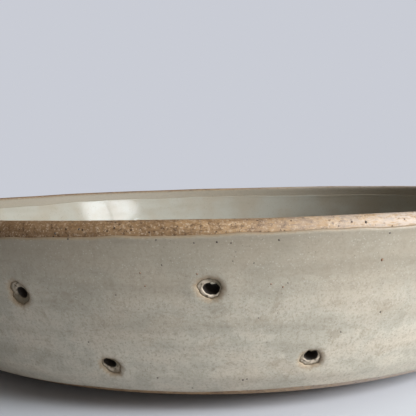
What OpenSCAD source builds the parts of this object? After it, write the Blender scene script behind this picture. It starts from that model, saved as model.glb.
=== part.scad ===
// Berry bowl: a shallow, wheel-thrown stoneware bowl with drain holes through its wall and floor.
// One fired clay body carries two fused coats of glaze, one outside and one inside.
// It stands on its foot ring on the plane z = 0, and the axis it was turned on is Z.
// The section is drawn once as arcs that run into each other, and every piece is cut from those arcs.

/* [Bowl] */
// Diameter of the clay over the lip
rim_d = 240; // [220:1:270]
// Height from the table to the top of the lip
bowl_h = 50; // [46:0.5:56]
// Thickness of the clay wall, and so the width of its rounded lip
wall_t = 5; // [4:0.1:6.5]
// Depth that the sponge takes off the top and the outside of the lip
lip_worn = 0.05; // [0.03:0.01:0.2]
// Lean of the wall from upright just under the lip, in degrees
lip_lean = 12; // [8:0.5:18]
// Radius of the wall's swelling in the section
belly_r = 140; // [110:1:180]
// Radius of the outer heel, where the wall turns under
heel_r = 18; // [14:0.5:22]
// Radius of the inner corner between wall and floor
corner_r = 20; // [15:0.5:24]
// Thickness of the clay floor inside the foot ring
floor_t = 5.3; // [4:0.1:7]

/* [Foot] */
// Gap between the table and the underside next to the heel
heel_gap = 2.5; // [1.5:0.1:4]
// Distance from the foot ring's outer side to where the heel begins to curve
foot_inset = 11.5; // [6:0.5:16]
// Width of the foot ring
foot_w = 6; // [4:0.1:9]
// Radius of the foot ring's worn lower edges
foot_edge_r = 1; // [0.5:0.1:1.4]
// Height of the turned well inside the foot ring
well_h = 3.2; // [2.6:0.1:4.5]
// Number of drain notches across the foot ring
notch_count = 3; // [3:1:6]
// Width of a drain notch where it meets the table
notch_w = 12; // [8:0.5:18]
// Height of a drain notch
notch_h = 1.8; // [1:0.1:2.2]

/* [Drain holes] */
// Diameter of every drain hole in the clay
hole_d = 3.6; // [2.4:0.1:4.6]
// Number of holes in each of the wall's two rows
wall_hole_count = 14; // [11:1:18]
// Place of the upper row, as a share of the way down the wall's swelling
upper_row = 0.38; // [0.3:0.01:0.5]
// Place of the lower row, as a share of the way down the wall's swelling
lower_row = 0.91; // [0.75:0.01:0.95]
// How far the hand strays along a row, in degrees round the bowl
stray_turn = 1.35; // [0:0.05:2]
// How far the hand strays up or down the wall
stray_slide = 0.95; // [0:0.05:1.2]
// How much further down the wall the upper row runs at the back than at the front
upper_sink = 5; // [0:0.5:6]
// Distance between neighbouring holes in the floor
floor_pitch = 24; // [18:0.5:28]
// Number of rings of holes round the middle hole of the floor
floor_rings = 2; // [1:1:2]
// Width of the burr of clay left standing round a wall hole
burr_w = 0.7; // [0.4:0.1:0.9]
// Height of that burr above the wall
burr_h = 0.35; // [0.2:0.05:0.45]

/* [Glaze] */
// Thickness of each coat of glaze
coat_t = 0.5; // [0.3:0.05:0.8]
// Bare wall between the outside of the lip and the outer coat
lip_bare_out = 0.3; // [0.1:0.1:4]
// Bare wall between the inside of the lip and the inner coat
lip_bare_in = 2.5; // [0.1:0.1:5]
// Height above the table at which the outer coat stops
coat_foot_h = 5.8; // [4.8:0.1:9]
// Bare ring that the glaze leaves round every hole
hole_bare = 1.1; // [1:0.1:1.8]

/* [Hidden] */
$fn = 96;
turned_fn = 240;

// How far a round stands proud where it meets a face, so that the two cross in a clean line.
proud = 0.05;

// The lip is a round on the wall's middle line, sponged flat along its top and its outside.
lip_r = wall_t / 2 + proud;
lip_x = rim_d / 2 + lip_worn - lip_r;
lip_z = bowl_h + lip_worn - lip_r;

// Middle of the swelling: both faces of the wall are arcs about this point.
belly_x = lip_x - (belly_r - wall_t / 2) * cos(lip_lean);
belly_z = lip_z + (belly_r - wall_t / 2) * sin(lip_lean);
inner_r = belly_r - wall_t;

// The outer heel runs into the outer face, and the tilt is where they meet.
heel_z = heel_gap + heel_r;
heel_span = belly_r - heel_r + proud;
heel_tilt = meeting_tilt(heel_span, belly_z - heel_z);
heel_x = belly_x + heel_span * cos(heel_tilt);

// The inner corner runs into the inner face in the same way.
floor_z = well_h + floor_t;
corner_z = floor_z + corner_r;
corner_span = inner_r - corner_r + proud;
corner_tilt = meeting_tilt(corner_span, belly_z - corner_z);
corner_x = belly_x + corner_span * cos(corner_tilt);

foot_out_r = heel_x - foot_inset;
foot_in_r = foot_out_r - foot_w;
notch_r = (pow(notch_w / 2, 2) + pow(notch_h, 2)) / (2 * notch_h);
notch_turn = 360 / notch_count;

hole_r = hole_d / 2;
crater_r = hole_r + hole_bare;
wall_hole_turn = 360 / wall_hole_count;
// The front of the bowl faces the -Y direction, and the first hole stands a little to its left.
front_turn = -90;
first_hole_turn = -26.07;
// The lower row starts a little less than half a step further round.
lower_shift = 0.455;
// Each hole strays by a sine that moves on by the golden angle, so no two neighbours stray alike.
golden_turn = 137.5;
upper_lead = 77.8;
lower_lead = 203.3;
slide_lead = 291.25;
holes_in_first_ring = 6;

// How far a cutter runs past the face that it cuts.
over = 1;
// Reach of a cutter that has to pass any part of the section.
reach = belly_r + rim_d;

// Tilt below the level at which a small arc meets a larger one, from the distance
// between their middles and how far the small one's middle lies below the other.
function meeting_tilt(span, drop) = asin(drop / span);

// Angle at the middle of an arc for a length along it.
function arc_turn(length, radius) = length / radius * 180 / PI;

// Point of the section at a tilt below the level, seen from another point.
function seen_from(x, z, radius, tilt) = [x + radius * cos(tilt), z - radius * sin(tilt)];

// Hand-placed direction of wall hole k, round the bowl and down the wall.
function hole_turn(k, shift, lead) =
    front_turn + first_hole_turn + wall_hole_turn * (k + shift)
    + stray_turn * sin(golden_turn * k + lead);
function hole_tilt(k, share, sink, turn) =
    lip_lean + (heel_tilt - lip_lean) * share
    + arc_turn(sink, belly_r) * (1 - cos(turn - front_turn)) / 2
    - arc_turn(stray_slide, belly_r) * sin(golden_turn * k + slide_lead);

// Disc of the section about a given point.
module disc(x, z, radius) {
    translate([x, z]) circle(r = radius, $fn = turned_fn);
}

// Wedge of the section between two tilts below the level.
module wedge(x, z, tilt_from, tilt_to) {
    polygon([
        [x, z],
        seen_from(x, z, reach, tilt_from),
        seen_from(x, z, reach, (tilt_from + tilt_to) / 2),
        seen_from(x, z, reach, tilt_to)
    ]);
}

// Everything inside a turned face: the swelling above, a corner arc, and a flat bottom.
module cup_area(face_r, arc_x, arc_z, arc_r, tilt) {
    difference() {
        disc(belly_x, belly_z, face_r);
        wedge(arc_x, arc_z, tilt, 90);
        translate([-reach, arc_z - arc_r - reach]) square([2 * reach, reach]);
    }
    disc(arc_x, arc_z, arc_r);
}

// Rolled edge where a coat ends: a round on the coat's middle line, a little fuller than the coat.
module coat_edge(x, z, mid_r, tilt) {
    translate(seen_from(x, z, mid_r, tilt)) circle(r = coat_t / 2 + proud);
}

// Everything inside the bowl's outer face, grown by a coat.
module outside_area(coat) {
    cup_area(belly_r + coat, heel_x, heel_z, heel_r + coat, heel_tilt);
}

// Everything inside the bowl's inner face, shrunk by a coat.
module inside_area(coat) {
    cup_area(inner_r - coat, corner_x, corner_z, corner_r - coat, corner_tilt);
}

// Half of the section, to the right of the turning axis.
module right_half() {
    intersection() {
        children();
        translate([0, -reach]) square([reach, 2 * reach]);
    }
}

// Section of the foot ring, with rounded lower edges.
module foot_area() {
    translate([foot_in_r, foot_edge_r]) square([foot_w, well_h + over - foot_edge_r]);
    translate([foot_in_r + foot_edge_r, 0]) square([foot_w - 2 * foot_edge_r, well_h]);
    translate([foot_in_r + foot_edge_r, foot_edge_r]) circle(r = foot_edge_r);
    translate([foot_out_r - foot_edge_r, foot_edge_r]) circle(r = foot_edge_r);
}

// Section of the lip, as far as the bowl's full width and height.
module lip_area() {
    intersection() {
        disc(lip_x, lip_z, lip_r);
        square([rim_d / 2, bowl_h]);
    }
}

// Section of the clay: outside less inside, closed by the lip, with the well turned out.
module clay_area() {
    difference() {
        intersection() {
            outside_area(0);
            wedge(belly_x, belly_z, lip_lean, 90);
        }
        inside_area(0);
        translate([-reach, 0]) square([reach + foot_in_r, well_h]);
    }
    lip_area();
    foot_area();
}

// Section of the outer coat, less the clay under it.
module outer_coat_area() {
    top_tilt = lip_lean + arc_turn(lip_bare_out + coat_t / 2, belly_r);
    foot_tilt = asin((heel_z - coat_foot_h) / heel_r);
    difference() {
        union() {
            difference() {
                intersection() {
                    outside_area(coat_t);
                    wedge(belly_x, belly_z, top_tilt, 90);
                }
                wedge(heel_x, heel_z, foot_tilt, 90);
                translate([-reach, heel_gap - over]) square([reach + heel_x, 2 * over]);
            }
            coat_edge(belly_x, belly_z, belly_r + coat_t / 2, top_tilt);
            coat_edge(heel_x, heel_z, heel_r + coat_t / 2, foot_tilt);
        }
        outside_area(0);
    }
}

// Section of the inner coat, kept inside the clay's inner face.
module inner_coat_area() {
    top_tilt = lip_lean + arc_turn(lip_bare_in + coat_t / 2, inner_r);
    intersection() {
        inside_area(0);
        union() {
            difference() {
                wedge(belly_x, belly_z, top_tilt, 90);
                inside_area(coat_t);
            }
            coat_edge(belly_x, belly_z, inner_r - coat_t / 2, top_tilt);
        }
    }
}

// Puts its children at wall hole k, with their Z axis square to the wall from the belly's middle.
module at_wall_hole(k, shift, lead, share, sink) {
    turn = hole_turn(k, shift, lead);
    rotate([0, 0, turn])
        translate([belly_x, 0, belly_z])
            rotate([0, 90 + hole_tilt(k, share, sink, turn), 0])
                children();
}

// Puts its children at every hole of both rows.
module at_wall_holes() {
    for (k = [0 : wall_hole_count - 1]) {
        at_wall_hole(k, 0, upper_lead, upper_row, upper_sink) children();
        at_wall_hole(k, lower_shift, lower_lead, lower_row, 0) children();
    }
}

// Drills of one radius through the wall, from inside the corner to outside the coats.
module wall_drills(radius) {
    at_wall_holes()
        translate([0, 0, inner_r - corner_r / 2])
            cylinder(r = radius, h = wall_t + corner_r);
}

// Drills of one radius through the floor: one in the middle, then rings of six, twelve and so on.
module floor_drills(radius) {
    for (ring = [0 : floor_rings])
        for (k = [0 : max(1, holes_in_first_ring * ring) - 1])
            rotate([0, 0, k * 360 / max(1, holes_in_first_ring * ring)])
                translate([ring * floor_pitch, 0, 0])
                    cylinder(r = radius, h = floor_z + coat_t + over);
}

// Low burrs that the piercing tool raised round the wall holes, left standing in the craters.
module burrs() {
    at_wall_holes()
        translate([0, 0, belly_r - over])
            cylinder(r1 = hole_r + burr_w, r2 = hole_r + burr_w / 2, h = over + burr_h);
}

// Shallow rounded notches across the foot ring, so that water can run out from under the bowl.
module drain_notches() {
    for (k = [0 : notch_count - 1])
        rotate([0, 0, front_turn + notch_turn * (k + 0.5)])
            translate([foot_in_r - over, 0, notch_h - notch_r])
                rotate([0, 90, 0])
                    cylinder(r = notch_r, h = foot_w + 2 * over);
}

// The fired clay: wall, lip, floor and foot ring thrown and turned from one lump, then pierced.
module stoneware_body() {
    color([0.67, 0.54, 0.41])
        difference() {
            union() {
                rotate_extrude($fn = turned_fn) right_half() clay_area();
                burrs();
            }
            wall_drills(hole_r);
            floor_drills(hole_r);
            drain_notches();
        }
}

// The outer coat: from just under the lip down to a little above the table.
module outer_glaze() {
    color([0.68, 0.65, 0.58])
        difference() {
            rotate_extrude($fn = turned_fn) right_half() outer_coat_area();
            wall_drills(crater_r);
        }
}

// The inner coat: from a little under the lip, down the wall, round the corner and over the floor.
module inner_glaze() {
    color([0.78, 0.76, 0.70])
        difference() {
            rotate_extrude($fn = turned_fn) right_half() inner_coat_area();
            wall_drills(crater_r);
            floor_drills(crater_r);
        }
}

stoneware_body();
outer_glaze();
inner_glaze();
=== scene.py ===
# %% [markdown]
# # A thrown berry bowl, pierced, glazed and fired
#
# The bowl is one lump of stoneware, thrown on a wheel, pierced while it was leather-hard, and
# dipped in glaze. This lesson builds what shows of it: the fired clay with its tunnels and burrs,
# a satin coat of glaze outside, a glossy coat inside, and the iron specks that melted through.
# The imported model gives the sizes. It is loaded first and is never moved or changed.

# %% Load the fixed frame
import math

import bmesh
import bpy
import numpy as np
from mathutils import Matrix, Vector


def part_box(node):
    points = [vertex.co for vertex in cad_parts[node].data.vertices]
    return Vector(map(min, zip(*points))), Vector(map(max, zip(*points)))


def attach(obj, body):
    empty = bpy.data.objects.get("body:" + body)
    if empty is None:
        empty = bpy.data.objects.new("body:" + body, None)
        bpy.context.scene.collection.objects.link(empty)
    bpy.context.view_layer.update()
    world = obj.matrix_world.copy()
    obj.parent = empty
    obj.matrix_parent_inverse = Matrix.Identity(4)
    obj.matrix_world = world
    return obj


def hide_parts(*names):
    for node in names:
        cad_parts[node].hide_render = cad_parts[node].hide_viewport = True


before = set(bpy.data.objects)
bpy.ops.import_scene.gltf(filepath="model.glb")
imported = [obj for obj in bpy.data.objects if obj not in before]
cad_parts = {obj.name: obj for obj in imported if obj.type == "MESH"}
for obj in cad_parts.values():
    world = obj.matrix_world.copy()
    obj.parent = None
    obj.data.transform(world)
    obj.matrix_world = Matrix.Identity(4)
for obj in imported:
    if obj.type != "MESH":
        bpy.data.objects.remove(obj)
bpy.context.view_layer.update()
print("nodes in the frame:", ", ".join(sorted(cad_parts)))

# %% [markdown]
# ## The section
#
# A thrown bowl is a section turned round an axis. The section here is made of arcs and short
# lines, walked from the crest of the lip. One walk goes out over the lip, down the wall, round the
# heel, over the foot ring and into the well. The other goes in over the lip, down the inner wall,
# round the corner and over the floor. A place on the bowl is then two numbers: the turn round the
# axis, in degrees from the front, and the slide, in millimetres along the walk. The tools of a
# potter work along these two directions, so marks, edges and holes are easy to lay out in them.

# %% Sizes of the bowl, in millimetres
MM = 0.001
body_low, body_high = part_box("stoneware_body")
RIM_R = round(body_high[0] / MM, 1)
BOWL_H = round(body_high[2] / MM, 1)
WALL_T = 5.0
LIP_LEAN = 12.0
BELLY_R = 140.0
HEEL_R = 18.0
CORNER_R = 20.0
HEEL_GAP = 2.5
FOOT_INSET = 11.5
FOOT_W = 6.0
FOOT_EDGE_R = 1.0
FOOT_FILLET_R = 0.8
WELL_H = 3.2
FLOOR_Z = 8.5
COAT_T = 0.45
print(f"the lip is {2 * RIM_R:.0f} mm across and {BOWL_H:.0f} mm above the table")

# %% Walk the two sides of the section
WALK_STEP = 0.08


def arc(r, z, radius, start, end):
    """Points of the section along an arc, between two angles in degrees above the level."""
    steps = max(4, int(abs(math.radians(end - start)) * radius / WALK_STEP))
    turned = np.radians(np.linspace(start, end, steps))
    return np.stack([r + radius * np.cos(turned), z + radius * np.sin(turned)], 1)


def run(r0, z0, r1, z1):
    """Points of the section along a straight line."""
    steps = max(3, int(math.hypot(r1 - r0, z1 - z0) / WALK_STEP))
    return np.stack([np.linspace(r0, r1, steps), np.linspace(z0, z1, steps)], 1)


class Walk:
    """One side of the section as a path: where each slide lies, and which way the surface faces."""

    def __init__(self, pieces, side):
        points = np.concatenate(pieces)
        gaps = np.hypot(*np.diff(points, axis=0).T)
        points = points[np.concatenate([[True], gaps > WALK_STEP / 10])]
        self.s = np.concatenate([[0.0], np.cumsum(np.hypot(*np.diff(points, axis=0).T))])
        self.r, self.z = points.T
        tangent_r, tangent_z = np.gradient(self.r, self.s), np.gradient(self.z, self.s)
        length = np.hypot(tangent_r, tangent_z)
        self.nr, self.nz = -side * tangent_z / length, side * tangent_r / length

    def at(self, slide):
        """Radius, height and facing of the surface at these slides."""
        return [np.interp(slide, self.s, values) for values in (self.r, self.z, self.nr, self.nz)]

    def slide_at_radius(self, radius):
        """Slide on the last, level stretch where the walk has come in to this radius."""
        return self.s[-1] - (radius - self.r[-1])


lip_r = WALL_T / 2
lip_x, lip_z = RIM_R - lip_r, BOWL_H - lip_r
lean = math.radians(LIP_LEAN)
belly_x = lip_x - (BELLY_R - lip_r) * math.cos(lean)
belly_z = lip_z + (BELLY_R - lip_r) * math.sin(lean)


def tuck(radius, face_r, lowest):
    """Middle and tilt of the arc that carries the wall's curve down to a level."""
    z = lowest + radius
    tilt = math.degrees(math.asin((belly_z - z) / (face_r - radius)))
    return belly_x + (face_r - radius) * math.cos(math.radians(tilt)), z, tilt


heel_x, heel_z, heel_tilt = tuck(HEEL_R, BELLY_R, HEEL_GAP)
corner_x, corner_z, corner_tilt = tuck(CORNER_R, BELLY_R - WALL_T, FLOOR_Z)
foot_out, foot_in = heel_x - FOOT_INSET, heel_x - FOOT_INSET - FOOT_W
fillet, edge_r = FOOT_FILLET_R, FOOT_EDGE_R

outside = Walk([
    arc(lip_x, lip_z, lip_r, 90, -LIP_LEAN),
    arc(belly_x, belly_z, BELLY_R, -LIP_LEAN, -heel_tilt),
    arc(heel_x, heel_z, HEEL_R, -heel_tilt, -90),
    run(heel_x, HEEL_GAP, foot_out + fillet, HEEL_GAP),
    arc(foot_out + fillet, HEEL_GAP - fillet, fillet, 90, 180),
    arc(foot_out - edge_r, edge_r, edge_r, 0, -90),
    run(foot_out - edge_r, 0, foot_in + edge_r, 0),
    arc(foot_in + edge_r, edge_r, edge_r, -90, -180),
    arc(foot_in - fillet, WELL_H - fillet, fillet, 0, 90),
    run(foot_in - fillet, WELL_H, 0.5, WELL_H),
], side=1)
inside = Walk([
    arc(lip_x, lip_z, lip_r, 90, 180 - LIP_LEAN),
    arc(belly_x, belly_z, BELLY_R - WALL_T, -LIP_LEAN, -corner_tilt),
    arc(corner_x, corner_z, CORNER_R, -corner_tilt, -90),
    run(corner_x, FLOOR_Z, 0.5, FLOOR_Z),
], side=-1)
lip_out_end = lip_r * math.radians(90 + LIP_LEAN)
lip_in_end = lip_r * math.radians(90 - LIP_LEAN)
heel_start = lip_out_end + BELLY_R * math.radians(heel_tilt - LIP_LEAN)
print(f"walk outside {outside.s[-1]:.0f} mm, walk inside {inside.s[-1]:.0f} mm")

# %% [markdown]
# ## What the hand left
#
# No thrown bowl is quite round or level. Its wall wanders in and out by a few tenths of a
# millimetre, more towards the lip, and the fingers leave low spiral ridges. Both are sums of a few
# slow waves, which run on without a seam round the bowl. The wander is added to every piece alike,
# tunnels too, so nothing comes apart.

# %% Wander of the wall and ridges of the fingers
def waves(turn, *terms):
    """A sum of waves round the bowl: each term is how many there are, how high, and where they start."""
    around = np.radians(turn)
    return sum(height * np.cos(count * around + start) for count, height, start in terms)


def smooth(low, high, value):
    """0 at low, 1 at high, and a smooth step between. With low above high it falls."""
    t = np.clip((value - low) / (high - low), 0, 1)
    return t * t * (3 - 2 * t)


def wander(r, z, turn):
    """Points in metres, after the bowl's slow wander has moved them."""
    lift = np.clip(z / BOWL_H, 0, 1) ** 1.5
    r = r + lift * waves(turn, (2, 0.22, 0.7), (3, 0.12, 1.9), (7, 0.04, 0.4))
    z = z + lift * waves(turn, (2, 0.10, 2.0), (5, 0.07, 0.3), (11, 0.05, 2.2), (19, 0.03, 1.2))
    around = np.radians(turn)
    return np.stack([r * np.sin(around), -r * np.cos(around), z], 1) * MM


def ridges(walk, turn, slide):
    """Height of the finger ridges above the turned surface."""
    if walk is outside:
        spiral = np.sin(math.tau * (slide / 5.2 + turn / 360) + waves(turn, (3, 0.5, 1.0)))
        fine = np.sin(math.tau * (slide / 1.9 - turn / 180) + waves(turn, (5, 0.8, 0.2)))
        strength = smooth(6, 14, slide) * (1 - smooth(50, 56, slide))
        return strength * (0.045 * spiral + 0.014 * fine)
    spiral = np.sin(math.tau * (slide / 8.5 + turn / 360) + waves(turn, (2, 0.6, 0.4)))
    return smooth(8, 18, slide) * (0.02 + 0.05 * smooth(50, 64, slide)) * spiral


# %% [markdown]
# ## The drain holes
#
# Two staggered rows of holes go through the wall, and rings of them through the floor. Each was
# pushed by hand, so each strays a little and has a mouth of its own: a bore that isn't quite round,
# a burr of clay to one side, and a ragged crater where the glaze crawled back. A mouth is written
# as a radius that changes with the direction, which takes only a few numbers a hole. The four holes
# at the front are given one by one, and the others take theirs from the golden angle, so that no two
# neighbours are alike.

# %% Places and shapes of the holes
GOLDEN = 137.5
WALL_HOLES = 14
WALL_STEP = 360 / WALL_HOLES
FIRST_TURN = -26.07
LOWER_SHIFT = 0.455
STRAY_TURN = 1.35
STRAY_SLIDE = 0.95
SLIDE_LEAD = 291.25
UPPER_ROW, LOWER_ROW = 0.38, 0.91
UPPER_SINK = 5.0
FLOOR_PITCH = 24.0
BORE_R = 1.62
INNER_MOUTH = 0.72
BARE_GAP = 1.1


def sway(k, lead):
    """A number from -1 to 1 that changes from hole to hole without repeating."""
    return math.sin(math.radians(GOLDEN * k + lead))


def toward(angle, direction, sharp=1):
    """1 in a direction of the hole's plane, and 0 at its back. 0 is to the right and 90 down."""
    return (0.5 + 0.5 * np.cos(angle - math.radians(direction))) ** sharp


class Hole:
    """One drain hole: its place on both walks, and the shapes of its bore, burr and crater."""

    def __init__(self, turn, tilt=None, radius=None, k=0, **look):
        self.turn, self.tilt, self.radius, self.k = turn, tilt, radius, k
        self.look = dict(
            bore=BORE_R * (1 + 0.08 * sway(k, 20)), stretch=0.10 + 0.07 * sway(k, 75),
            stretch_way=180 * sway(k, 10), tip=0.12 + 0.1 * sway(k, 300), tip_way=200 + 90 * sway(k, 50),
            near=0.35 + 0.15 * sway(k, 140), far=BARE_GAP * (1.25 + 0.35 * sway(k, 220)),
            pull_way=120 + 150 * sway(k, 330), pull_wide=1.3 + 0.5 * sway(k, 65), burr=0.3 + 0.12 * sway(k, 95),
            burr_way=100 + 80 * sway(k, 170), burr_wide=1.6, cream=0.5 + 0.4 * sway(k, 260))
        self.look.update(look)

    def slide(self, walk):
        if self.radius is not None:
            return walk.slide_at_radius(self.radius)
        tilts = np.degrees(np.arctan2(belly_z - walk.z, walk.r - belly_x))
        wall = walk.s < walk.s[np.argmin(walk.z)]
        return float(np.interp(self.tilt, tilts[wall], walk.s[wall]))

    def local(self, walk, turn, slide):
        """Millimetres to the right of the hole and down from it."""
        radius = walk.at(slide)[0]
        across = np.radians((turn - self.turn + 180) % 360 - 180)
        if self.radius is not None:
            return radius * np.sin(across), self.radius - radius * np.cos(across)
        return radius * across, slide - self.slide(walk)

    def place(self, walk, right, down):
        """Turn and slide of points that lie right of the hole and down from it."""
        if self.radius is not None:
            radius = np.hypot(right, self.radius - down)
            turn = self.turn + np.degrees(np.arctan2(right, self.radius - down))
            return turn, walk.slide_at_radius(radius)
        slide = self.slide(walk) + down
        return self.turn + np.degrees(right / walk.at(slide)[0]), slide

    def bore(self, angle, depth=0.0):
        """Radius of the bore by direction: ragged at its mouth, and rounder with depth."""
        look = self.look
        ragged = 1 - 0.8 * depth
        shape = look["stretch"] * np.cos(2 * (angle - math.radians(look["stretch_way"])))
        shape = shape + look["tip"] * toward(angle, look["tip_way"], 8)
        shape = shape - look.get("notch", 0) * toward(angle, look.get("notch_way", 270), 40)
        shape = shape + 0.025 * np.cos(5 * angle + self.k) + 0.02 * np.cos(9 * angle + 2 * self.k)
        return look["bore"] * (1 + ragged * shape)

    def crater(self, angle):
        """Radius by direction at which the glaze stops: near the bore, and far from it to one side."""
        look = self.look
        gap = look["near"] + (look["far"] - look["near"]) * toward(angle, look["pull_way"], look["pull_wide"])
        gap = gap * (1 + 0.14 * np.cos(3 * angle + 1.7 * self.k) + 0.07 * np.cos(7 * angle + 0.9 * self.k)
                     + 0.05 * np.cos(11 * angle + self.k))
        return self.bore(angle, 0.4) + np.maximum(gap, 0.2)

    def from_inside(self):
        """The same hole's inner mouth: narrower, because the tool tapers, and plainer."""
        plain = dict(bore=INNER_MOUTH * self.look["bore"], near=0.8, far=1.2, burr=0.12, cream=0.2)
        return Hole(self.turn, tilt=self.tilt, k=self.k + 7, **plain)

    def burr_share(self, angle):
        """How much of the burr stands in each direction, from 0 to 1."""
        look = self.look
        share = toward(angle, look["burr_way"], look["burr_wide"])
        share = share * (1 - look.get("groove", 0) * toward(angle, look["burr_way"], 120))
        return share * (0.8 + 0.2 * np.cos(6 * angle + self.k))


FRONT_LOOKS = {
    ("upper", 0): dict(bore=1.42, stretch=0.06, stretch_way=50, tip=0.0, near=0.45, far=2.1,
                       pull_way=170, pull_wide=0.6, burr=0.26, burr_way=225, burr_wide=3.0, cream=0.7),
    ("upper", 1): dict(bore=1.62, stretch=0.05, stretch_way=15, tip=0.26, tip_way=188, near=0.35,
                       far=1.35, pull_way=200, pull_wide=0.8, burr=0.42, burr_way=145,
                       burr_wide=1.0, cream=1.3),
    ("lower", 0): dict(bore=1.42, stretch=0.17, stretch_way=25, tip=0.0, near=0.3, far=1.8,
                       pull_way=62, pull_wide=1.5, burr=0.3, burr_way=120, burr_wide=2.0, cream=0.8),
    ("lower", 1): dict(bore=1.62, stretch=0.08, stretch_way=0, tip=0.0, notch=0.3, notch_way=270,
                       near=0.25, far=1.75, pull_way=95, pull_wide=1.6, burr=0.45, burr_way=92,
                       burr_wide=1.4, groove=0.7, cream=1.3),
}
wall_holes = []
for row, share, shift, lead, sink in (("upper", UPPER_ROW, 0, 77.8, UPPER_SINK),
                                      ("lower", LOWER_ROW, LOWER_SHIFT, 203.3, 0)):
    for k in range(WALL_HOLES):
        turn = FIRST_TURN + WALL_STEP * (k + shift) + STRAY_TURN * sway(k, lead)
        lower = sink * (1 - math.cos(math.radians(turn))) / 2 - STRAY_SLIDE * sway(k, SLIDE_LEAD)
        tilt = LIP_LEAN + (heel_tilt - LIP_LEAN) * share + math.degrees(lower / BELLY_R)
        wall_holes.append(Hole((turn + 180) % 360 - 180, tilt=tilt, k=k + 60 * shift,
                               **FRONT_LOOKS.get((row, k), {})))
floor_holes = [
    Hole((90 + 360 * k / (6 * ring) + 180) % 360 - 180, radius=ring * FLOOR_PITCH, k=k + 20 * ring,
         tip=0.03, near=0.8, far=1.2, burr=0.1)
    for ring in (1, 2) for k in range(6 * ring)]
middle_hole = Hole(0, radius=0.0, k=7, tip=0.0, stretch=0.03, near=0.9, far=1.2, burr=0.1)
inner_mouths = [hole.from_inside() for hole in wall_holes]
print(len(wall_holes), "holes in the wall and", len(floor_holes) + 1, "in the floor")

# %% [markdown]
# ## Skins of points
#
# A skin is a sheet of points over one walk: rows round the bowl, closer where the form is tight.
# Round each hole a square block of cells is left out and filled with rings, which pass from the
# square to the hole's own outline. That keeps every hole a real hole with a smooth rim, and costs
# far fewer faces than a grid fine enough to draw it. Rows may have fewer points further in.

# %% The skin builder
class Skin:
    """Points laid over one walk, with the faces between them."""

    def __init__(self, walk):
        self.walk, self.count = walk, 0
        self.turns, self.slides, self.faces = [], [], []
        self.rows, self.row_slides, self.left_out = [], [], {}

    def add(self, turn, slide):
        self.turns.append(np.asarray(turn, float))
        self.slides.append(np.asarray(slide, float))
        self.count += len(self.turns[-1])
        return np.arange(self.count - len(self.turns[-1]), self.count)

    def lay(self, points, slides, shift=None):
        """Rows of this many points at these slides. shift(turn, slide) moves them, to follow an edge."""
        turn = np.arange(points) * 360 / points - 180
        for slide in slides:
            moved = np.full(points, float(slide)) + (shift(turn, slide) if shift else 0)
            self.rows.append(self.add(turn, moved))
            self.row_slides.append(float(slide))

    def pierce(self, hole, cells, radii):
        """Leaves out a block of cells round the hole and fills it with rings. Returns the last ring."""
        top = int(np.argmin(np.abs(np.array(self.row_slides) - hole.slide(self.walk)))) - cells // 2
        points = len(self.rows[top])
        left = round((hole.turn + 180) / 360 * points) - cells // 2
        assert len(self.rows[top + cells]) == points, "a hole lies across a change of rows"
        span = np.arange(cells)
        for row in range(top, top + cells):
            self.left_out.setdefault(row, []).extend((left + span) % points)
        corners = ([(top, left + c) for c in span] + [(top + c, left + cells) for c in span]
                   + [(top + cells, left + cells - c) for c in span]
                   + [(top + cells - c, left) for c in span])
        ring = np.array([self.rows[row][column % points] for row, column in corners])
        turn, slide = np.concatenate(self.turns), np.concatenate(self.slides)
        right, down = hole.local(self.walk, turn[ring], slide[ring])
        even = np.radians(-135 + 360 * np.arange(4 * cells) / (4 * cells))
        lag = (np.arctan2(down, right) - even + math.pi) % math.tau - math.pi
        reach = np.hypot(right, down)
        for step in range(len(radii)):
            angle = even + lag * (1 - (step + 1) / len(radii)) ** 2
            radius = radii[step](hole, angle)
            radius = np.minimum(radius, hole.crater(angle) + 0.85 * (reach - hole.crater(angle)))
            inner = self.add(*hole.place(self.walk, radius * np.cos(angle), radius * np.sin(angle)))
            self.join(ring, inner)
            ring = inner
        return ring

    def join(self, outer, inner):
        """Faces between two closed rings with as many points."""
        for a, b, c, d in zip(outer, inner, np.roll(inner, -1), np.roll(outer, -1)):
            self.faces.append((a, b, c, d))

    def weave(self):
        """Faces between the rows, apart from the cells left out."""
        for i in range(len(self.rows) - 1):
            upper, lower = self.rows[i], self.rows[i + 1]
            if len(upper) == len(lower):
                keep = np.ones(len(upper), bool)
                keep[self.left_out.get(i, [])] = False
                quads = np.stack([upper, lower, np.roll(lower, -1), np.roll(upper, -1)], 1)[keep]
                self.faces.extend(map(tuple, quads.tolist()))
                continue
            u = v = 0
            while u < len(upper) or v < len(lower):
                a, b = upper[u % len(upper)], lower[v % len(lower)]
                if (u + 1) / len(upper) <= (v + 1) / len(lower):
                    u += 1
                    self.faces.append((a, b, upper[u % len(upper)]))
                else:
                    v += 1
                    self.faces.append((a, b, lower[v % len(lower)]))

    def spots(self):
        return np.concatenate(self.turns), np.concatenate(self.slides)


def near_holes(skin, holes, reach=9.0):
    """For each point: the hole close to it, if any, its distance from the middle, and its direction."""
    turn, slide = skin.spots()
    which = np.full(len(turn), -1)
    distance, angle = np.full(len(turn), 1e3), np.zeros(len(turn))
    for index, hole in enumerate(holes):
        right, down = hole.local(skin.walk, turn, slide)
        from_middle = np.hypot(right, down)
        if hole.radius is not None:
            from_middle = np.where(np.abs(slide - hole.slide(skin.walk)) > reach, 1e3, from_middle)
        close = (from_middle < reach) & (from_middle < distance)
        which[close], distance[close] = index, from_middle[close]
        angle[close] = np.arctan2(down, right)[close]
    return which, distance, angle


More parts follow.
